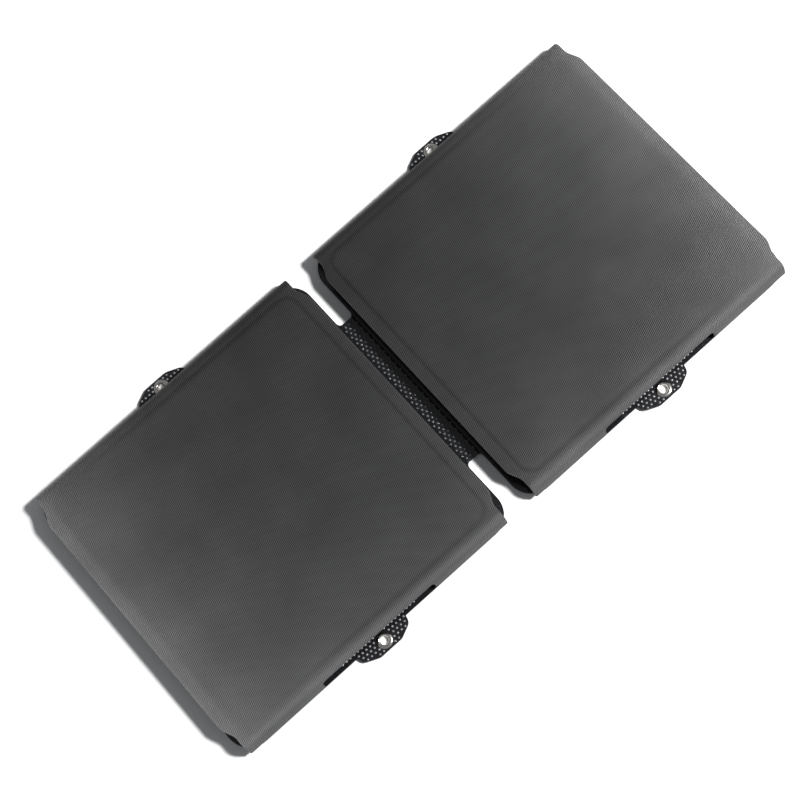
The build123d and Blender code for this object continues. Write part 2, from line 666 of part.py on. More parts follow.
with BuildPart() as usb_c_shell:
    depth, width, height = USB_C_SIZE
    socket_middle = (USB_C_Y, PCB_TOP + height / 2)
    with BuildSketch(Plane.YZ.offset(SOCKET_MOUTH)):
        with Locations(socket_middle):
            RectangleRounded(width, height, USB_C_CORNER)
    extrude(amount=-depth)
    with BuildSketch(Plane.YZ.offset(SOCKET_MOUTH)):
        with Locations(socket_middle):
            RectangleRounded(width - 2 * SHELL_WALL, height - 2 * SHELL_WALL, USB_C_CORNER - SHELL_WALL)
    extrude(amount=SHELL_WALL - depth, mode=Mode.SUBTRACT)
save(usb_c_shell, "usb_c_shell")

with BuildPart() as usb_c_tongue:
    with Locations((SOCKET_MOUTH - USB_C_SIZE[0] + SHELL_WALL, USB_C_Y, PCB_TOP + USB_C_SIZE[2] / 2)):
        Box(*USB_C_TONGUE_SIZE, align=(Align.MIN, Align.CENTER, Align.CENTER))
save(usb_c_tongue, "usb_c_tongue")


def on_board(place):
    """A place on the board's top, from the board's middle."""
    return (PCB_CENTRE + place[0], place[1], PCB_TOP)


with BuildPart() as controller_chip:
    with Locations(on_board(CHIP_PLACE)):
        Box(*CHIP_SIZE, align=ON_FLOOR)
    chamfer(controller_chip.faces().sort_by(Axis.Z)[-1].edges(), length=CHIP_EDGE)
save(controller_chip, "controller_chip")

with BuildPart() as power_inductor:
    with BuildSketch(Plane(on_board(INDUCTOR_PLACE))):
        RectangleRounded(INDUCTOR_SIZE[0], INDUCTOR_SIZE[1], INDUCTOR_CORNER)
    extrude(amount=INDUCTOR_SIZE[2])
    chamfer(power_inductor.faces().sort_by(Axis.Z)[-1].edges(), length=INDUCTOR_EDGE)
save(power_inductor, "power_inductor")

with BuildPart() as capacitors:
    with Locations(*[on_board(place) for place in CAPACITOR_PLACES]):
        Cylinder(CAPACITOR_RADIUS, CAPACITOR_HEIGHT, align=ON_FLOOR)
    fillet(capacitors.faces().group_by(Axis.Z)[-1].edges(), radius=CAPACITOR_ROUNDING)
save(capacitors, "capacitors")

with BuildPart() as blocking_diode:
    with Locations(on_board(DIODE_PLACE)):
        Box(*DIODE_SIZE, align=ON_FLOOR)
    chamfer(blocking_diode.faces().sort_by(Axis.Z)[-1].edges(), length=DIODE_EDGE)
save(blocking_diode, "blocking_diode")

with BuildPart() as indicator_led:
    with Locations((PCB_FRONT - LED_SETBACK, LIGHT_Y, PCB_TOP)):
        Box(*LED_SIZE, align=ON_FLOOR)
save(indicator_led, "indicator_led")

with BuildPart() as light_pipe:
    pipe_back = PCB_FRONT - LED_SETBACK + LED_SIZE[0] / 2
    with BuildSketch(Plane.YZ.offset(pipe_back)):
        with Locations((LIGHT_Y, PCB_TOP + LIGHT_RISE)):
            Circle(LIGHT_RADIUS)
    extrude(amount=MODULE_FACE + LIGHT_NOSE - pipe_back)
    fillet(light_pipe.faces().sort_by(Axis.X)[-1].edges(), radius=LIGHT_ROUNDING)
save(light_pipe, "light_pipe")


# ---------------------------------------------------------------- port flap and its pin
with BuildPart() as flap_pin:
    pin_length = FLAP_WIDTH + 2 * (EAR_WIDTH + EAR_GAP)
    with BuildSketch(Plane.XZ.offset(-FLAP_Y + pin_length / 2)):
        with Locations((PIN_X, PIN_HEIGHT)):
            Circle(PIN_RADIUS)
    extrude(amount=-pin_length)
save(flap_pin, "flap_pin")

with BuildPart() as port_flap:
    with BuildSketch(Plane.XZ.offset(-FLAP_Y + FLAP_WIDTH / 2)):
        with Locations((PIN_X, PIN_HEIGHT)):
            Circle(FLAP_BARREL)
        with Locations((MODULE_FACE + FLAP_GAP, PIN_HEIGHT)):
            Rectangle(FLAP_THICKNESS, FLAP_HEIGHT, align=Align.MIN)
        with Locations((PIN_X, PIN_HEIGHT)):
            Circle(PIN_RADIUS + PIN_CLEARANCE, mode=Mode.SUBTRACT)
    extrude(amount=-FLAP_WIDTH)
    top_edges = port_flap.edges().filter_by(Axis.X).group_by(Axis.Z)[-1]
    fillet(top_edges, radius=FLAP_CORNER)
    flap_middle = MODULE_FACE + FLAP_GAP + FLAP_THICKNESS / 2
    with Locations((flap_middle, FLAP_Y, PIN_HEIGHT + FLAP_HEIGHT - PULL_DROP)):
        Box(*PULL_SIZE, align=(Align.MIN, Align.CENTER, Align.CENTER))
save(port_flap, "port_flap")


# ---------------------------------------------------------------- leads from the laminate to the board
with BuildPart() as terminal_pads:
    length, width, height = TERMINAL_SIZE
    with Locations((TERMINAL_X, -LEAD_Y, LAMINATE_TOP), (TERMINAL_X, LEAD_Y, LAMINATE_TOP)):
        Box(length, width, height, align=ON_FLOOR)
save(terminal_pads, "terminal_pads")

lead_level = PCB_TOP + LEAD_RADIUS
lead_start = LAMINATE_TOP + TERMINAL_SIZE[2]
board_end = PCB_CENTRE - PCB_LENGTH / 2 + LEAD_LANDING
for name, across in (("lead_positive", 1), ("lead_negative", -1)):
    y = across * LEAD_Y
    with BuildPart() as lead:
        with BuildLine():
            FilletPolyline((TERMINAL_X, y, lead_start), (TERMINAL_X, y, lead_level),
                           (board_end, y, lead_level), radius=LEAD_BEND)
        with BuildSketch(lift(lead_start)):
            with Locations((TERMINAL_X, y)):
                Circle(LEAD_RADIUS)
        sweep()
    save(lead, name)
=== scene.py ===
"""The looks of a two-panel folding solar charger that lies unfolded with its cells down.

Metres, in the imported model's frame: X runs along the charger, Y across it, and Z up out
of the back covers. The covers' fabric, the flexible web at the fold, the clear front film
and the raised dots of the laminate are built here. Every other piece is the CAD node with
a procedural material.
"""
import json
from math import ceil, cos, pi, radians, sin, sqrt

import bpy
import numpy as np
from mathutils import Euler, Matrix, Vector, geometry, noise


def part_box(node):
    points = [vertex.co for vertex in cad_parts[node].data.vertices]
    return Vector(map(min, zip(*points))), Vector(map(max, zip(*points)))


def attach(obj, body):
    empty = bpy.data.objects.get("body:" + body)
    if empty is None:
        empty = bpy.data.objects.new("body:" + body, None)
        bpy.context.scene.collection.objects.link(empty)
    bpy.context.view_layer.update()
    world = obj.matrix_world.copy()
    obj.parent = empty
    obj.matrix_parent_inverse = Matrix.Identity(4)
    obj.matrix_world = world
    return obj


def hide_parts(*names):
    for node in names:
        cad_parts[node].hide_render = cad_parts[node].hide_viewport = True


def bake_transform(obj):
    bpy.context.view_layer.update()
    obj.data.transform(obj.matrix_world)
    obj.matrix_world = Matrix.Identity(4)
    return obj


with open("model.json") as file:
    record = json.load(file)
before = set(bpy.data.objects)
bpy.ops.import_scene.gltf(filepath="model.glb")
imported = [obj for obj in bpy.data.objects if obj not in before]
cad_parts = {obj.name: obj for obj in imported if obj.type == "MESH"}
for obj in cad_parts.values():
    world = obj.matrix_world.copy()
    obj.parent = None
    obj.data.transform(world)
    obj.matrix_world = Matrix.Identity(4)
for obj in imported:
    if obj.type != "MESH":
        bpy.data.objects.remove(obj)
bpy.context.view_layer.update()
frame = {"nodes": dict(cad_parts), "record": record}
nodes = frame["nodes"]

SIDES = {"left": -1, "right": 1}

# ---------------------------------------------------------------- sizes
# Back cover: a flat face whose long edges turn down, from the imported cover
cover_low, cover_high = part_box("right_cover_fabric")
COVER_CENTRE = (cover_low.x + cover_high.x) / 2
COVER_HALF = (cover_high.x - cover_low.x) / 2
COVER_TOP = cover_high.z
COVER_LIP = cover_low.z
BEND_START = 0.090
BEND_RADIUS = 0.007
BEND_ANGLE = radians(75)
BEND_RUN = BEND_RADIUS * BEND_ANGLE
FLANGE_RUN = (COVER_TOP - BEND_RADIUS * (1 - cos(BEND_ANGLE)) - COVER_LIP) / sin(BEND_ANGLE)
COVER_REACH = BEND_START + BEND_RUN + FLANGE_RUN     # half the cover's developed width
BEVEL_LENGTH = 0.0076
BEVEL_DROP = 0.001
BEVEL_SOFTNESS = 0.0012
CREASE_DEPTH = 0.0003
CREASE_HALF = 0.0017
PLATEAU_REACH = 0.0885       # the flat face ends here on each side of the middle line
PLATEAU_CORNER = 0.009
BOARD_CLEAR = 0.00032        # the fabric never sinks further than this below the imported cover
EAR_SETBACK = 0.0037
EAR_CORNER = 0.0012
OGEE_START = 0.0767
OGEE_END = 0.088
NOTCH_HALF = 0.0415
NOTCH_TOP = 0.0116
NOTCH_FILLET = 0.0025
NOTCH_CORNER = 0.001
RIM_RADIUS = 0.00085
RIM_STEPS = 8
FABRIC_TUCK = 0.0003
BOARD_FACE = 0.00135         # the board's inner face below the fabric's outside
RIPPLE = 0.00007
RIPPLE_LENGTH = 0.032
MESH_STEP = 0.002
MESH_ENDS = (0.100, 0.106)   # the mesh's half length and half developed width
COARSE_HALF = 0.088          # the mesh is twice as fine outside this

# Weave
FABRIC_DARK = (0.0015, 0.0015, 0.0016)
FABRIC_LIGHT = (0.027, 0.027, 0.0272)
FABRIC_FIBRE = (0.014, 0.014, 0.0142)
FABRIC_WANDER = 0.00018      # how far the threads stray sideways
FABRIC_RELIEF = 0.00012
GROOVE_GLOSS, GRAIN_GLOSS = 0.01, 0.24
GRAIN_WIDTH = 0.00112
GRAIN_LENGTH = 0.0024
THREAD_PITCH = 0.00046

# Laminate
film_low, film_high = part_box("right_back_film")
LAMINATE_START = film_low.x
LAMINATE_CENTRE = (film_low.x + film_high.x) / 2
LAMINATE_HALF = (film_high.x - film_low.x) / 2
LAMINATE_HALF_WIDTH = 0.0974
LAMINATE_CORNER = 0.015
LAMINATE_TOP = film_high.z
FRONT_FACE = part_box("right_front_film")[0].z
FRONT_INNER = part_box("right_front_film")[1].z
FILM_GAP = 0.00003           # between the clear film's inner face and the cells
TAB_OUTLINE = ((0.0187, 0.0954), (0.0170, 0.1018), (0.0080, 0.1058))   # half width, distance
EYELET_OFFSET = 0.100
EYELET_CLEAR = 0.0058        # dots stay this far from an eyelet's centre

# Raised dots on both faces of the laminate
DOT_PITCH = 0.0028
DOT_ROW = DOT_PITCH * sqrt(3) / 2
DOT_RADIUS = 0.00078
DOT_HEIGHT = 0.00028
DOT_MARGIN = 0.0011
WEB_DOT_MARGIN = 0.0015
TAB_SPREAD = 0.008           # the back's dots reach this far past a tab's root
DOT_PROFILE = ((1.0, 0.0), (0.78, 0.52), (0.42, 0.88))   # share of radius, share of height
BACK_DOT_SIDES = 12
FRONT_DOT_SIDES = 8
DOTS_REACH = 0.107           # no dot lies further from the middle line
# painted highlights for the glints on the glossy dots of a tab
TAB_DOT_PAINTED_GLINT = (0.26, 0.265, 0.275)
# the web's are darker: painted shade for the trench between the covers at the fold
WEB_DOT_SHADED_GLINT = (0.12, 0.122, 0.127)

# Hinge web
web_low, web_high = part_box("hinge_web")
WEB_END = web_high.x
WEB_HALF_WIDTH = 0.056
WEB_FLARE = 0.0025
WEB_RAMP = 0.0018            # the web thickens to the laminate over this length
WEB_COLUMNS = 36
WEB_ROWS = 80
conductor_low, conductor_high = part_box("hinge_conductors")
CONDUCTOR_Y = 0.030
CONDUCTOR_WIDTH = 0.005


# ---------------------------------------------------------------- mesh helpers
def piece(name, points, faces, material):
    """A new smooth-shaded mesh object with one material."""
    mesh = bpy.data.meshes.new(name)
    mesh.from_pydata([tuple(p) for p in points], [], faces)
    mesh.validate()
    mesh.update()
    mesh.shade_smooth()
    mesh.materials.append(material)
    made = bpy.data.objects.new(name, mesh)
    bpy.context.scene.collection.objects.link(made)
    return made


def store(obj, name, values):
    """Keep one vector for each point of a mesh, for its material to read."""
    attribute = obj.data.attributes.new(name, "FLOAT_VECTOR", "POINT")
    attribute.data.foreach_set("vector", np.asarray(values, np.float32).ravel())


def smooth(t):
    """An even rise from 0 to 1."""
    t = min(max(t, 0.0), 1.0)
    return t * t * (3 - 2 * t)


def rounded(corners):
    """A line through (point, radius) corners, with an arc at each one that has a radius."""
    line = []
    for i, (corner, radius) in enumerate(corners):
        corner = Vector(corner)
        if radius == 0:
            line.append(corner)
            continue
        back = (Vector(corners[i - 1][0]) - corner).normalized()
        ahead = (Vector(corners[i + 1][0]) - corner).normalized()
        centre = corner + (back + ahead) * radius
        for step in range(7):
            turn = step / 6 * pi / 2
            line.append(centre - ahead * radius * cos(turn) - back * radius * sin(turn))
    return line


def spaced(line, step):
    """The same closed line with no run longer than step."""
    out = []
    for i, point in enumerate(line):
        following = line[(i + 1) % len(line)]
        count = max(1, ceil((following - point).length / step))
        out += [point.lerp(following, k / count) for k in range(count)]
    return out


def distance_to(line, points):
    """How far each point is from a closed line, negative outside it."""
    line = np.array([tuple(p) for p in line])
    ends = np.roll(line, -1, axis=0)
    nearest = np.full(len(points), np.inf)
    inside = np.zeros(len(points), bool)
    for (x1, y1), (x2, y2) in zip(line, ends):
        run = np.array((x2 - x1, y2 - y1))
        share = np.clip(((points - (x1, y1)) @ run) / (run @ run), 0, 1)
        foot = (x1, y1) + share[:, None] * run
        nearest = np.minimum(nearest, np.linalg.norm(points - foot, axis=1))
        if y1 != y2:
            crosses = (points[:, 1] >= min(y1, y2)) & (points[:, 1] < max(y1, y2))
            at = x1 + (points[:, 1] - y1) / (y2 - y1) * (x2 - x1)
            inside ^= crosses & (points[:, 0] < at)
    return np.where(inside, nearest, -nearest)


# ---------------------------------------------------------------- materials
class Shader:
    """One material, built up node by node around its Principled shader."""

    def __init__(self, name, color=(0.5, 0.5, 0.5), **values):
        self.material = bpy.data.materials.new(name)
        self.material.use_nodes = True
        self.tree = self.material.node_tree
        self.surface = self.tree.nodes["Principled BSDF"]
        self.surface.inputs["Base Color"].default_value = (*color, 1.0)
        for socket, value in values.items():
            self.surface.inputs[socket.replace("_", " ")].default_value = value
        self.place = self.add("ShaderNodeTexCoord").outputs["Object"]

    def add(self, kind, settings=None, **inputs):
        """A node; each input is a value or another node's output."""
        made = self.tree.nodes.new(kind)
        for name, value in (settings or {}).items():
            setattr(made, name, value)
        for name, value in inputs.items():
            socket = made.inputs[name.replace("_", " ")]
            if isinstance(value, bpy.types.NodeSocket):
                self.tree.links.new(value, socket)
            else:
                socket.default_value = value
        return made

    def math(self, operation, first, second=0.0):
        """The result of one sum."""
        made = self.tree.nodes.new("ShaderNodeMath")
        made.operation = operation
        for socket, value in zip(made.inputs, (first, second)):
            if isinstance(value, bpy.types.NodeSocket):
                self.tree.links.new(value, socket)
            else:
                socket.default_value = value
        return made.outputs[0]

    def scaled(self, value, low, high, to_low=0.0, to_high=1.0):
        """A value moved from one range to another, and kept in it."""
        made = self.add("ShaderNodeMapRange", Value=value, From_Min=low, From_Max=high,
                        To_Min=to_low, To_Max=to_high)
        return made.outputs["Result"]

    def noise(self, scale, detail=3.0, roughness=0.55, where=None, stretch=None):
        """Noise over the object's own coordinates, in features a metre."""
        where = where or self.place
        if stretch:
            where = self.add("ShaderNodeMapping", Vector=where, Scale=stretch).outputs["Vector"]
        made = self.add("ShaderNodeTexNoise", Vector=where, Scale=scale, Detail=detail,
                        Roughness=roughness)
        return made.outputs["Fac"]

    def mix(self, share, first, second):
        """A colour between two others."""
        made = self.tree.nodes.new("ShaderNodeMix")
        made.data_type = "RGBA"
        for index, value in ((0, share), (6, first), (7, second)):
            if isinstance(value, bpy.types.NodeSocket):
                self.tree.links.new(value, made.inputs[index])
            else:
                made.inputs[index].default_value = value if index == 0 else (*value, 1.0)
        return made.outputs[2]

    def color(self, value):
        self.tree.links.new(value, self.surface.inputs["Base Color"])

    def roughness(self, value):
        self.tree.links.new(value, self.surface.inputs["Roughness"])

    def bump(self, height, distance, strength=1.0):
        """Relief from a height between 0 and 1, distance metres deep."""
        made = self.add("ShaderNodeBump", Height=height, Distance=distance, Strength=strength)
        self.tree.links.new(made.outputs["Normal"], self.surface.inputs["Normal"])


def fabric():
    """Dark polyester in a fine broken twill: short slanting grains made of crossing threads."""
    made = Shader("woven_polyester", Sheen_Weight=0.02, Sheen_Roughness=0.4)
    cloth = made.add("ShaderNodeAttribute", {"attribute_name": "cloth"}).outputs["Vector"]
    slub = made.add("ShaderNodeTexNoise", Vector=cloth, Scale=420.0, Detail=2.0).outputs["Color"]
    wander = made.add("ShaderNodeVectorMath", {"operation": "MULTIPLY_ADD"})
    made.tree.links.new(slub, wander.inputs[0])
    wander.inputs[1].default_value = (FABRIC_WANDER,) * 3
    made.tree.links.new(cloth, wander.inputs[2])
    split = made.add("ShaderNodeSeparateXYZ", Vector=wander.outputs[0])
    along, across = split.outputs["X"], split.outputs["Y"]
    # diagonal coordinates: the grains lie along one of them and are narrow in the other
    narrow = made.math("SUBTRACT", along, across)
    lengthwise = made.math("ADD", along, across)
    wave_a = made.math("COSINE", made.math("MULTIPLY", narrow, 2 * pi / (GRAIN_WIDTH * sqrt(2))))
    wave_b = made.math("COSINE", made.math("MULTIPLY", lengthwise, 2 * pi / (GRAIN_LENGTH * sqrt(2))))
    grain = made.scaled(made.math("MULTIPLY", wave_a, wave_b), -0.6, 0.6)
    thread_a = made.math("SINE", made.math("MULTIPLY", along, pi / THREAD_PITCH))
    thread_b = made.math("SINE", made.math("MULTIPLY", across, pi / THREAD_PITCH))
    thread = made.scaled(made.math("MULTIPLY", thread_a, thread_b), -1.0, 1.0)
    patch = made.scaled(made.noise(26.0, 3.0, where=cloth), 0.3, 0.7, 0.75, 1.0)
    depth = made.math("MULTIPLY", grain, patch)
    shade = made.mix(depth, FABRIC_DARK, FABRIC_LIGHT)
    fibre = made.scaled(made.noise(5200.0, 2.0, where=cloth), 0.3, 0.7, 0.0, 0.35)
    shade = made.mix(fibre, shade, FABRIC_FIBRE)
    # painted shade: the colour darkens towards FABRIC_DARK along the crease round the flat middle
    painted_crease_shade = made.add("ShaderNodeAttribute", {"attribute_name": "painted_crease_shade"}).outputs["Vector"]
    painted_crease_shade = made.add("ShaderNodeSeparateXYZ", Vector=painted_crease_shade).outputs["X"]
    made.color(made.mix(made.scaled(painted_crease_shade, 0.0, 1.0, 0.0, 0.5), shade, FABRIC_DARK))
    made.roughness(made.scaled(made.noise(60.0, 4.0, where=cloth), 0.3, 0.7, 0.56, 0.60))
    relief = made.math("ADD", made.math("MULTIPLY", depth, 0.7), made.math("MULTIPLY", thread, 0.3))
    made.bump(relief, FABRIC_RELIEF)
    # the grooves between the grains are dull
    gloss = made.scaled(depth, 0.0, 1.0, GROOVE_GLOSS, GRAIN_GLOSS)
    made.tree.links.new(gloss, made.surface.inputs["Specular IOR Level"])
    return made.material


def grained(name, color, roughness, grain=900.0, relief=0.00003, shift=0.25, wear=0.0, metal=0.0,
            stretch=None, spread=0.12, **values):
    """A moulded, rolled or cast surface: mottled, unevenly glossy, and paler at worn edges."""
    made = Shader(name, Metallic=metal, **values)
    mottle = made.scaled(made.noise(grain / 14, 4.0, stretch=stretch), 0.3, 0.7)
    darker = tuple(c * (1 - shift) for c in color)
    lighter = tuple(min(1.0, c * (1 + shift)) for c in color)
    shade = made.mix(mottle, darker, lighter)
    if wear:
        edge = made.add("ShaderNodeNewGeometry").outputs["Pointiness"]
        edge = made.scaled(edge, 0.52, 0.60, 0.0, wear)
        shade = made.mix(edge, shade, tuple(min(1.0, c * 1.6 + 0.04) for c in color))
    made.color(shade)
    fine = made.noise(grain, 4.0, 0.6, stretch=stretch)
    made.roughness(made.scaled(fine, 0.25, 0.75, roughness - spread, roughness + spread))
    made.bump(fine, relief, 0.7)
    return made.material


def foam():
    """Closed-cell foam: small round cells, cut through at the sides."""
    made = Shader("closed_cell_foam", Roughness=0.9, Specular_IOR_Level=0.2)
    cells = made.add("ShaderNodeTexVoronoi", {"feature": "F1"}, Vector=made.place, Scale=1900.0)
    pit = made.scaled(cells.outputs["Distance"], 0.1, 0.6)
    shade = made.mix(pit, (0.008, 0.008, 0.009), (0.032, 0.032, 0.034))
    patch = made.scaled(made.noise(70.0), 0.3, 0.7, 0.0, 0.4)
    made.color(made.mix(patch, shade, (0.02, 0.02, 0.021)))
    made.roughness(made.scaled(made.noise(300.0), 0.3, 0.7, 0.8, 0.98))
    made.bump(pit, 0.00012, 0.9)
    return made.material


def film(name, painted_glint_color=None):
    """The laminate's black back: a glossy skin over a fibre mat; given a colour for its moulded dots, it
    paints highlights on them, paler towards their tops.
    """
    made = Shader(name, Roughness=0.2, Coat_Weight=0.3, Coat_Roughness=0.12)
    mat = made.scaled(made.noise(1300.0, 4.0, 0.65, stretch=(1.0, 2.6, 1.0)), 0.35, 0.65)
    shade = made.mix(mat, (0.0035, 0.0037, 0.0045), (0.010, 0.0105, 0.012))
    if painted_glint_color:
        # painted highlight: the dots grow paler towards their tops, more so in random patches
        rise = made.add("ShaderNodeAttribute", {"attribute_name": "dome"}).outputs["Vector"]
        rise = made.add("ShaderNodeSeparateXYZ", Vector=rise).outputs["X"]
        glint_patches = made.scaled(made.noise(240.0, 2.0), 0.3, 0.7, 0.55, 1.0)
        glint_share = made.math("MULTIPLY", made.scaled(rise, 0.25, 0.8), glint_patches)
        shade = made.mix(glint_share, shade, painted_glint_color)
    made.color(shade)
    made.roughness(made.scaled(made.noise(420.0, 4.0), 0.3, 0.7, 0.14, 0.3))
    made.bump(mat, 0.000025, 0.5)
    return made.material


def clear_film():
    """The clear front film: thin, slightly blue, and glossy over its dimples."""
    made = Shader("clear_film", (0.02, 0.025, 0.04), Roughness=0.15, Alpha=0.12, Coat_Weight=0.3,
                  Coat_Roughness=0.1)
    haze = made.noise(900.0, 4.0, 0.6)
    made.color(made.mix(made.scaled(haze, 0.3, 0.7), (0.015, 0.02, 0.034), (0.035, 0.042, 0.06)))
    made.roughness(made.scaled(haze, 0.3, 0.7, 0.1, 0.22))
    made.bump(haze, 0.00001, 0.4)
    return made.material


def silicon():
    """Back-contact cells: even blue-black faces with a faint cloud and fine texture."""
    made = Shader("cell_silicon", Roughness=0.28, Coat_Weight=0.2, Coat_Roughness=0.2)
    cloud = made.scaled(made.noise(38.0, 5.0), 0.3, 0.7)
    shade = made.mix(cloud, (0.004, 0.007, 0.024), (0.009, 0.015, 0.046))
    fleck = made.add("ShaderNodeTexVoronoi", {"feature": "F1"}, Vector=made.place, Scale=5200.0)
    glint = made.scaled(fleck.outputs["Distance"], 0.2, 0.8, 0.0, 0.3)
    shade = made.mix(glint, shade, (0.02, 0.026, 0.05))
    made.color(shade)
    made.roughness(made.scaled(made.noise(600.0), 0.3, 0.7, 0.22, 0.36))
    made.bump(fleck.outputs["Distance"], 0.00001, 0.4)
    return made.material


def solder_mask():
    """A circuit board: green mask with copper runs showing through it."""
    made = Shader("solder_mask", Roughness=0.35, Coat_Weight=0.3, Coat_Roughness=0.2)
    runs = made.add("ShaderNodeTexBrick", {"offset": 0.35, "squash": 1.6, "squash_frequency": 3},
                    Vector=made.place, Scale=260.0, Mortar_Size=0.06, Mortar_Smooth=0.1)
    copper = runs.outputs["Fac"]
    mottle = made.scaled(made.noise(400.0), 0.3, 0.7)
    base = made.mix(mottle, (0.004, 0.045, 0.018), (0.008, 0.07, 0.03))
    made.color(made.mix(made.scaled(copper, 0.0, 1.0, 0.0, 0.7), base, (0.03, 0.16, 0.06)))
    made.roughness(made.scaled(made.noise(1500.0), 0.3, 0.7, 0.28, 0.42))
    made.bump(copper, 0.00003, 0.6)
    return made.material


LOOKS = {
    "cover_fabric": fabric(),
    "cover_board": grained("pressed_board", (0.02, 0.02, 0.021), 0.6, 1500.0, 0.00005),
    "foam": foam(),
    "laminate_back": film("black_film"),
    "laminate_front": clear_film(),
    "backing": grained("glass_board", (0.035, 0.035, 0.037), 0.5, 1100.0, 0.00004, stretch=(1, 4, 1)),
    "encapsulant": grained("encapsulant", (0.030, 0.030, 0.034), 0.3, 500.0, 0.00001, shift=0.35),
    "silicon": silicon(),
    "copper": grained("tinned_copper", (0.62, 0.48, 0.40), 0.35, 1400.0, 0.00001, 0.12, metal=1.0,
                      stretch=(1, 6, 1)),
    "plated_steel": grained("polished_plating", (0.80, 0.77, 0.73), 0.17, 700.0, 0.000008, 0.06,
                            metal=1.0, spread=0.07),
    "module_plastic": grained("sparked_plastic", (0.021, 0.021, 0.023), 0.55, 2400.0, 0.00005, wear=0.3),
    "screw_steel": grained("plain_steel", (0.50, 0.50, 0.51), 0.32, 1800.0, 0.00001, 0.12, metal=1.0),
    "circuit_board": solder_mask(),
    "socket_steel": grained("nickel_sheet", (0.62, 0.61, 0.60), 0.28, 1200.0, 0.00001, 0.1, metal=1.0,
                            stretch=(1, 1, 5)),
    "socket_plastic": grained("socket_insulator", (0.03, 0.03, 0.031), 0.45, 1600.0, 0.00002),
    "chip_plastic": grained("moulded_epoxy", (0.02, 0.02, 0.021), 0.55, 2600.0, 0.00003),
    "ferrite": grained("powder_core", (0.06, 0.06, 0.064), 0.6, 3000.0, 0.00005, wear=0.3),
    "capacitor_can": grained("satin_can", (0.66, 0.66, 0.68), 0.34, 900.0, 0.00001, 0.08, metal=1.0),
    "led_ceramic": grained("white_ceramic", (0.75, 0.72, 0.58), 0.5, 1500.0, 0.00002, 0.08),
    "clear_plastic": grained("light_guide", (0.80, 0.86, 0.84), 0.15, 500.0, 0.00001, 0.05,
                             Transmission_Weight=0.75, IOR=1.49, spread=0.05),
    "flap_rubber": grained("flap_rubber", (0.019, 0.019, 0.020), 0.75, 2200.0, 0.00006, wear=0.25),
    "lead_red": grained("red_silicone", (0.42, 0.018, 0.015), 0.5, 900.0, 0.00003, 0.15),
    "lead_black": grained("black_silicone", (0.014, 0.014, 0.015), 0.5, 900.0, 0.00003, 0.2),
    "solder": grained("solder", (0.58, 0.58, 0.57), 0.38, 1500.0, 0.00003, 0.12, metal=1.0),
}
# both films paint highlights on their dots; the web's are dimmer, painted shade in the trench at the
# fold
TAB_FILM = film("tab_film", TAB_DOT_PAINTED_GLINT)
WEB_FILM = film("web_film", WEB_DOT_SHADED_GLINT)

for entry in frame["record"]["subparts"]:
    cad_mesh = nodes[entry["node"]].data
    cad_mesh.materials.clear()
    cad_mesh.materials.append(LOOKS[entry["material_slot"]])


# ---------------------------------------------------------------- cover fabric
def section(s):
    """The cross-section at s from the middle line: place across, height, side and angle turned."""
    across = 1 if s >= 0 else -1
    beyond = abs(s) - BEND_START
    turn = min(max(beyond, 0.0) / BEND_RADIUS, BEND_ANGLE)
    straight = max(beyond - BEND_RUN, 0.0)
    y = min(abs(s), BEND_START) + BEND_RADIUS * sin(turn) + straight * cos(turn)
    z = COVER_TOP - BEND_RADIUS * (1 - cos(turn)) - straight * sin(turn)
    return across * y, z, across, turn


def past_plateau(x, s):
    """How far a point lies outside the face's flat, round-cornered middle."""
    over_x = abs(x) - (COVER_HALF - BEVEL_LENGTH - PLATEAU_CORNER)
    over_s = abs(s) - (PLATEAU_REACH - PLATEAU_CORNER)
    return sqrt(max(over_x, 0) ** 2 + max(over_s, 0) ** 2) + min(max(over_x, over_s), 0) - PLATEAU_CORNER


def crease(side, x, s):
    """How deep the fabric sinks in the crease round its flat middle, from 0 to 1, fading to the outer
    end; the fabric's painted shade along the crease follows it.
    """
    fade = smooth((COVER_HALF - side * x) / COVER_HALF)
    return fade * max(0.0, 1 - (past_plateau(x, s) / CREASE_HALF) ** 2) ** 2


def bevel_drop(side, x, s, turn):
    """How far the face slopes down outside its flat middle, fading out over the bend."""
    past = past_plateau(x, s)
    soft = BEVEL_SOFTNESS
    ramp = 0.0 if past < -soft else past if past > soft else (past + soft) ** 2 / (4 * soft)
    packed = BEVEL_DROP * max(abs(x) - (COVER_HALF - BEVEL_LENGTH), 0.0) / BEVEL_LENGTH
    drop = BEVEL_DROP * ramp / BEVEL_LENGTH + CREASE_DEPTH * crease(side, x, s)
    drop = min(drop, packed + BOARD_CLEAR)
    return drop * max(0.0, 1 - turn / 0.5)


def cover_point(side, x, s, depth=0.0):
    """A point of the cover, depth below its outer face, with the normal and the way outward."""
    y, z, across, turn = section(s)
    normal = Vector((0, across * sin(turn), cos(turn)))
    outward = Vector((0, cos(turn), -across * sin(turn)))
    calm = smooth((COVER_HALF - abs(x)) / 0.012)
    ripple = RIPPLE * calm * noise.fractal(
        Vector((x / RIPPLE_LENGTH, s / RIPPLE_LENGTH, 7.0 * side)), 1.0, 2.0, 3)
    drop = depth + bevel_drop(side, x, s, turn) - ripple
    return Vector((side * COVER_CENTRE + x, y, z)) - normal * drop, normal, outward


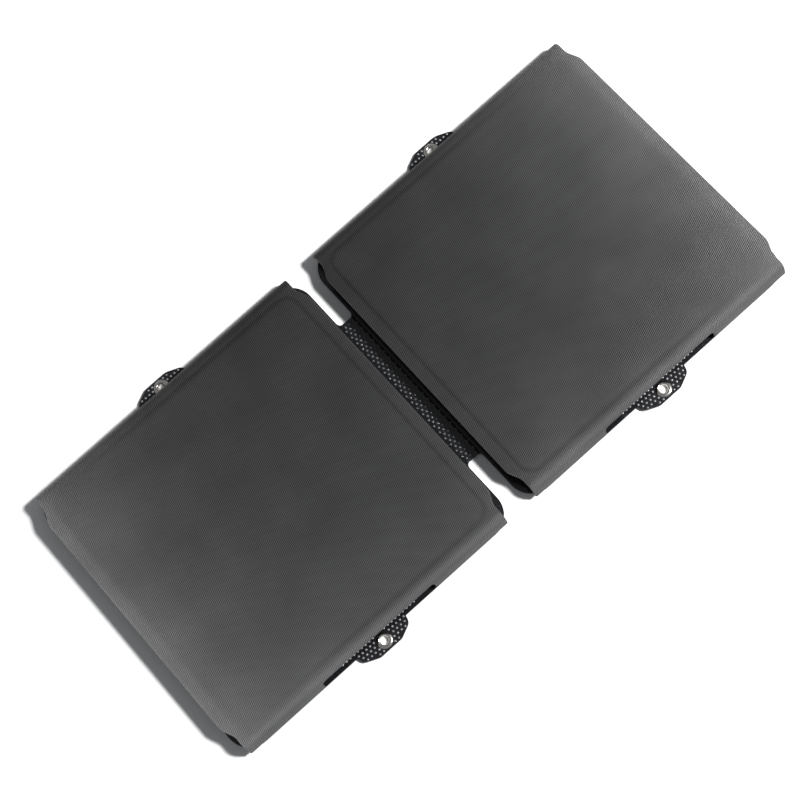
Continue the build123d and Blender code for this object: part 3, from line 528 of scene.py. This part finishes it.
def cover_outline(side):
    """The cover's cut shape, flat: x from its middle, s across it."""
    ear = COVER_HALF - EAR_SETBACK
    notch = side * (LAMINATE_CENTRE - COVER_CENTRE)
    notch_turn = BEND_RADIUS - (COVER_TOP - NOTCH_TOP)
    notch_reach = BEND_START + BEND_RADIUS * np.arccos(notch_turn / BEND_RADIUS)
    ogee = []
    for step in range(13):
        share = step / 12
        x, s = COVER_HALF - EAR_SETBACK * smooth(share), OGEE_START + share * (OGEE_END - OGEE_START)
        ogee.append(((x, s), 0))
    far = ogee + [
        ((ear, COVER_REACH), EAR_CORNER),
        ((notch + NOTCH_HALF, COVER_REACH), NOTCH_CORNER),
        ((notch + NOTCH_HALF, notch_reach), NOTCH_FILLET),
        ((notch - NOTCH_HALF, notch_reach), NOTCH_FILLET),
        ((notch - NOTCH_HALF, COVER_REACH), NOTCH_CORNER),
        ((-ear, COVER_REACH), EAR_CORNER),
    ] + [((-x, s), 0) for (x, s), _ in reversed(ogee)]
    half = rounded(far)
    return spaced(half + [Vector((p.x, -p.y)) for p in reversed(half)], 0.0012)


def outward_of(line):
    """The direction out of an anticlockwise line at each of its points."""
    out = []
    for i, point in enumerate(line):
        run = line[(i + 1) % len(line)] - line[i - 1]
        out.append(Vector((run.y, -run.x)).normalized())
    return out


def cover_skin(name, side):
    """The cover's fabric: the shaped sheet, turned round the board's edge all the way round."""
    line = cover_outline(side)
    out = outward_of(line)
    seam = [p - n * RIM_RADIUS for p, n in zip(line, out)]
    fine = MESH_STEP / 2
    xs, ss = (np.concatenate([np.arange(-end, -COARSE_HALF, fine),
                              np.arange(-COARSE_HALF, COARSE_HALF, MESH_STEP),
                              np.arange(COARSE_HALF, end + fine / 10, fine)]) for end in MESH_ENDS)
    grid = np.array([(x, s) for x in xs for s in ss])
    grid = grid[distance_to(seam, grid) > 0.6 * fine]
    flat = [p * 1000 for p in seam] + [Vector(p) * 1000 for p in grid]
    border = list(range(len(seam)))
    places, _, faces, origins, _, _ = geometry.delaunay_2d_cdt(flat, [], [border], 1, 1e-5)
    points, cloth = [], []
    for p in places:
        x, s = p / 1000
        points.append(cover_point(side, x, s)[0])
        cloth.append((x, s, side))
    at_seam = {}
    for i, origin in enumerate(origins):
        for o in origin:
            if o < len(seam):
                at_seam[o] = i
    rings = [[at_seam[i] for i in range(len(seam))]]
    for step in range(1, RIM_STEPS + 2):
        turn = min(step / RIM_STEPS, 1.0) * pi
        ring = []
        for p, n in zip(seam, out):
            base, normal, outward = cover_point(side, p.x, p.y)
            way = Vector((n.x, 0, 0)) + outward * n.y
            drop = RIM_RADIUS * (1 - cos(turn))
            reach = RIM_RADIUS * sin(turn)
            if step > RIM_STEPS:
                drop, reach = BOARD_FACE, -FABRIC_TUCK
            ring.append(len(points))
            points.append(base + way * reach - normal * drop)
            run = p + n * RIM_RADIUS * turn
            cloth.append((run.x, run.y, side))
        rings.append(ring)
    for upper, lower in zip(rings, rings[1:]):
        for i in range(len(upper)):
            j = (i + 1) % len(upper)
            faces.append((upper[i], lower[i], lower[j], upper[j]))
    made = piece(f"{name}_cover_skin", points, faces, LOOKS["cover_fabric"])
    store(made, "cloth", cloth)
    # how deep the crease is at each point, for the fabric's painted shade along it
    store(made, "painted_crease_shade", [(crease(side, x, s), 0, 0) for x, s, _ in cloth])
    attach(made, f"{name}_panel")
    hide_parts(f"{name}_cover_fabric")


for side_name, side in SIDES.items():
    cover_skin(side_name, side)


# ---------------------------------------------------------------- raised dots
def laminate_depth(x, y):
    """How far a point, x from the laminate's middle, lies inside the laminate's outline."""
    over_x = abs(x) - (LAMINATE_HALF - LAMINATE_CORNER)
    over_y = abs(y) - (LAMINATE_HALF_WIDTH - LAMINATE_CORNER)
    beyond = sqrt(max(over_x, 0) ** 2 + max(over_y, 0) ** 2) + min(max(over_x, over_y), 0)
    body = LAMINATE_CORNER - beyond
    tab = abs(y) - TAB_OUTLINE[0][1] + LAMINATE_CORNER
    corners = list(TAB_OUTLINE) + [(0.0, TAB_OUTLINE[-1][1])]
    for (w1, d1), (w2, d2) in zip(corners, corners[1:]):
        run = Vector((w2 - w1, d2 - d1)).normalized()
        tab = min(tab, run.y * (w1 - abs(x)) - run.x * (d1 - abs(y)))
    return max(body, tab)


def lattice(low_x, high_x, low_y, high_y):
    """The dots' centres in a rectangle: rows along X, every other one set off by half a pitch."""
    places = []
    for row in range(ceil(low_y / DOT_ROW), int(high_y // DOT_ROW) + 1):
        shift = DOT_PITCH / 2 * (row % 2)
        first, last = ceil((low_x - shift) / DOT_PITCH), int((high_x - shift) // DOT_PITCH)
        places += [(column * DOT_PITCH + shift, row * DOT_ROW) for column in range(first, last + 1)]
    return places


def domes(places, level, up, sides):
    """Points, faces and rise of low round dots that stand on a level face."""
    points, faces, rises = [], [], []
    for x, y in places:
        height = level(x) if callable(level) else level
        first = len(points)
        for radius, rise in DOT_PROFILE:
            for k in range(sides):
                turn = 2 * pi * k / sides
                points.append((x + DOT_RADIUS * radius * cos(turn),
                               y + DOT_RADIUS * radius * sin(turn),
                               height + up * DOT_HEIGHT * rise))
                rises.append((rise, 0, 0))
        points.append((x, y, height + up * DOT_HEIGHT))
        rises.append((1.0, 0, 0))
        for ring in range(len(DOT_PROFILE) - 1):
            for k in range(sides):
                a, b = first + ring * sides + k, first + ring * sides + (k + 1) % sides
                faces.append((a, b, b + sides, a + sides)[::up])
        last = first + (len(DOT_PROFILE) - 1) * sides
        for k in range(sides):
            faces.append((last + k, last + (k + 1) % sides, len(points) - 1)[::up])
    return points, faces, rises


core_low, core_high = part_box("right_foam_core")

for side_name, side in SIDES.items():
    reach = LAMINATE_HALF + 0.001
    middle = side * LAMINATE_CENTRE
    spots = [(x, y) for x, y in lattice(middle - reach, middle + reach, -DOTS_REACH, DOTS_REACH)
             if laminate_depth(x - middle, y) > DOT_MARGIN
             and sqrt((x - middle) ** 2 + (abs(y) - EYELET_OFFSET) ** 2) > EYELET_CLEAR]
    # the back's dots are on the tabs, round the foam core
    tabs = [(x, y) for x, y in spots
            if abs(y) > core_high.y + DOT_RADIUS and abs(x - middle) < TAB_OUTLINE[0][0] + TAB_SPREAD]
    points, faces, rises = domes(tabs, LAMINATE_TOP, 1, BACK_DOT_SIDES)
    back_dots = piece(f"{side_name}_back_dots", points, faces, TAB_FILM)
    store(back_dots, "dome", rises)
    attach(back_dots, f"{side_name}_panel")

    # the clear front film with its own dots, a hair thinner than its node so that it clears the cells
    source = nodes[f"{side_name}_front_film"].data
    film_points = [(v.co.x, v.co.y, min(v.co.z, FRONT_INNER - FILM_GAP)) for v in source.vertices]
    film_faces = [tuple(p.vertices) for p in source.polygons]
    points, faces, _ = domes(spots, FRONT_FACE, -1, FRONT_DOT_SIDES)
    offset = len(film_points)
    film_faces += [tuple(v + offset for v in face) for face in faces]
    front = piece(f"{side_name}_front_skin", film_points + points, film_faces, LOOKS["laminate_front"])
    front.data.polygons.foreach_set(
        "use_smooth", [i >= len(source.polygons) for i in range(len(front.data.polygons))])
    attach(front, f"{side_name}_panel")
    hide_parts(f"{side_name}_front_film")


# ---------------------------------------------------------------- hinge web
def web_half_width(x):
    """The web's half width: narrow in the middle, with a fillet into each laminate."""
    past = abs(x) - (WEB_END - 0.0002 - WEB_FLARE)
    if past <= 0:
        return WEB_HALF_WIDTH
    return WEB_HALF_WIDTH + WEB_FLARE - sqrt(max(WEB_FLARE ** 2 - min(past, WEB_FLARE) ** 2, 0.0))


def web_top(x):
    """The web's upper face, which rises to the laminate's back at both ends."""
    rise = smooth((abs(x) - (WEB_END - WEB_RAMP)) / WEB_RAMP)
    return web_high.z + (LAMINATE_TOP - web_high.z) * rise


def strip(low_x, high_x, columns, half_width, top, bottom, rows=1, middle=0.0):
    """Points and faces of a closed flat strip along X, its long edges rounded."""
    shares = [v / rows * 2 - 1 for v in range(rows + 1)]
    arc = [pi * k / 6 for k in range(1, 6)]
    points, faces = [], []
    for c in range(columns + 1):
        x = low_x + (high_x - low_x) * c / columns
        wide, high, low = half_width(x), top(x), bottom(x)
        thick = (high - low) / 2
        edge = wide - thick
        ring = [(middle + t * edge, high) for t in shares]
        ring += [(middle + edge + thick * sin(a), high - thick + thick * cos(a)) for a in arc]
        ring += [(middle + t * edge, low) for t in reversed(shares)]
        ring += [(middle - edge - thick * sin(a), low + thick - thick * cos(a)) for a in arc]
        points += [(x, y, z) for y, z in ring]
    around = len(points) // (columns + 1)
    for c in range(columns):
        for k in range(around):
            a, b = c * around + k, c * around + (k + 1) % around
            faces.append((a, a + around, b + around, b))
    faces.append(tuple(range(around)))
    faces.append(tuple(reversed(range(columns * around, (columns + 1) * around))))
    return points, faces


points, faces = strip(-WEB_END, WEB_END, WEB_COLUMNS, web_half_width, web_top, lambda x: web_low.z,
                      WEB_ROWS)
spots = [(x, y) for x, y in lattice(-WEB_END + DOT_RADIUS, WEB_END - DOT_RADIUS, -DOTS_REACH, DOTS_REACH)
         if abs(y) < web_half_width(x) - WEB_DOT_MARGIN]
upper = domes(spots, web_top, 1, BACK_DOT_SIDES)
lower = domes(spots, web_low.z, -1, BACK_DOT_SIDES)
rises = [(0, 0, 0)] * len(points)
for dome_points, dome_faces, dome_rises in (upper, lower):
    faces += [tuple(v + len(points) for v in face) for face in dome_faces]
    points = points + dome_points
    rises = rises + dome_rises
web = piece("hinge_web_skin", points, faces, WEB_FILM)
store(web, "dome", rises)
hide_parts("hinge_web")
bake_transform(web)

ribbons, ribbon_faces = [], []
for across in (-1, 1):
    made_points, made_faces = strip(-WEB_END, WEB_END, WEB_COLUMNS, lambda x: CONDUCTOR_WIDTH / 2,
                                    lambda x: conductor_high.z, lambda x: conductor_low.z, 4,
                                    middle=across * CONDUCTOR_Y)
    ribbon_faces += [tuple(v + len(ribbons) for v in face) for face in made_faces]
    ribbons += made_points
conductors = piece("hinge_conductor_ribbons", ribbons, ribbon_faces, LOOKS["copper"])
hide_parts("hinge_conductors")
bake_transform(conductors)


# ---------------------------------------------------------------- floor, light and camera
floor_mesh = bpy.data.meshes.new("floor")
floor_mesh.from_pydata([(-3, -3, 0), (3, -3, 0), (3, 3, 0), (-3, 3, 0)], [], [(0, 1, 2, 3)])
floor = bpy.data.objects.new("floor", floor_mesh)
bpy.context.scene.collection.objects.link(floor)
table_top = Shader("table_top", (0.9, 0.9, 0.9), Roughness=0.6, Specular_IOR_Level=0.2)
floor_mesh.materials.append(table_top.material)


def area_light(name, place, target, size, power):
    """A soft rectangular light that looks at a point."""
    light = bpy.data.lights.new(name, "AREA")
    light.shape = "RECTANGLE"
    light.size, light.size_y = size
    light.energy = power
    made = bpy.data.objects.new(name, light)
    made.location = place
    made.rotation_euler = (Vector(target) - Vector(place)).to_track_quat("-Z", "Y").to_euler()
    bpy.context.scene.collection.objects.link(made)
    return made


area_light("key", (0.78, -0.56, 1.32), (0, 0, 0), (0.2, 0.2), 44)
covers_only = bpy.data.collections.new("covers_only")
for side_name in SIDES:
    covers_only.objects.link(bpy.data.objects[f"{side_name}_cover_skin"])
for name, place, target, size, power in (
        ("right_end", (0.258, 0.0, 0.062), (0.18, 0.0, 0.0), (0.50, 0.04), 1.8),
        ("left_end", (-0.262, 0.04, 0.066), (-0.18, 0.04, 0.0), (0.50, 0.04), 2.0),
        ("near_side", (0.0, -0.15, 0.05), (0.0, -0.08, 0.0), (0.46, 0.04), 1.0)):
    lamp = area_light(name, place, target, size, power)
    lamp.light_linking.receiver_collection = covers_only
    lamp.visible_camera = False

world = bpy.data.worlds.new("studio")
world.use_nodes = True
world.node_tree.nodes["Background"].inputs["Color"].default_value = (0.95, 0.97, 1.0, 1.0)
world.node_tree.nodes["Background"].inputs["Strength"].default_value = 0.20
bpy.context.scene.world = world
bpy.context.scene.view_settings.view_transform = "Standard"

camera_data = bpy.data.cameras.new("camera")
camera_data.sensor_width = 36
camera_data.lens = 85.752
camera_data.clip_start = 0.01
camera = bpy.data.objects.new("camera", camera_data)
camera.location = (-0.0906067, -0.2856267, 1.0626924)
camera.rotation_euler = Euler([radians(a) for a in (14.06539, 6.76839, -41.35594)])
bpy.context.scene.collection.objects.link(camera)
bpy.context.scene.camera = camera
